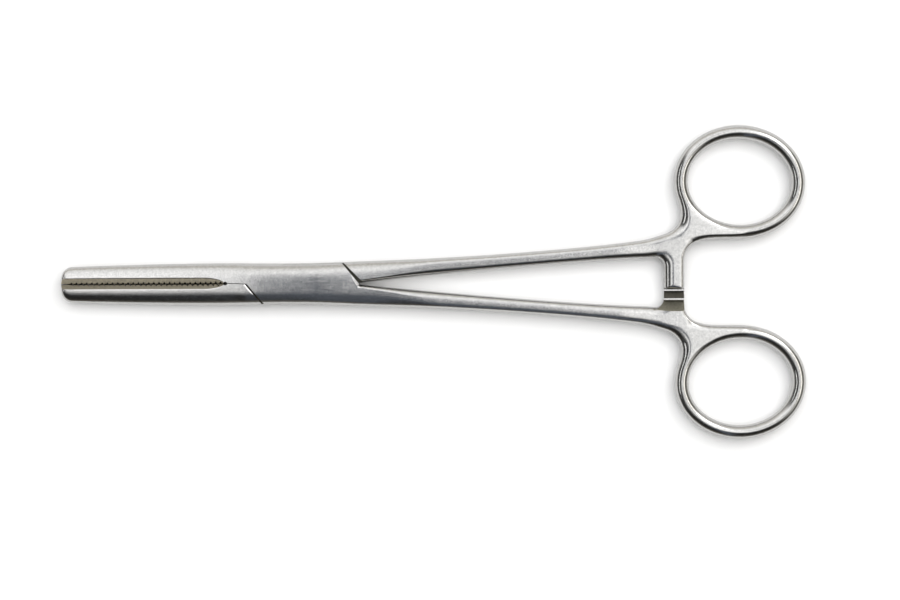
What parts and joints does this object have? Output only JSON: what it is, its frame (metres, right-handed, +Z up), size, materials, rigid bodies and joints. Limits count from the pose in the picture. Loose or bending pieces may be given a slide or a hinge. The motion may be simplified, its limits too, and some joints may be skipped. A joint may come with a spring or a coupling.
{
  "type": "tubing clamp",
  "caption": "Locking forceps-type tubing clamp with long straight serrated jaws, a box-lock pivot, a ratchet between the shanks and oval finger rings.",
  "frame": {"origin": "on the pivot axis, at the flat underside of the box", "axes": "+X along the clamp from the pivot to the finger rings, -X along the jaws, +Y to the side of the half whose web runs through the box, +Z up out of the flat side"},
  "size_m": [0.1799, 0.0758, 0.0056],
  "materials": {
    "satin_steel": "satin brushed stainless steel, gently polished edges",
    "pin_steel": "ground flush and brushed with the box"
  },
  "bodies": {
    "box_half": {"female_half": "satin_steel", "pivot_pin": "pin_steel"},
    "web_half": {"male_half": "satin_steel"}
  },
  "joints": [
    {"name": "box_pivot", "type": "hinge", "parent": "box_half", "child": "web_half", "pos_m": [0, 0, 0.0028], "axis": [0, 0, 1], "range_deg": [0, 60]}
  ]
}
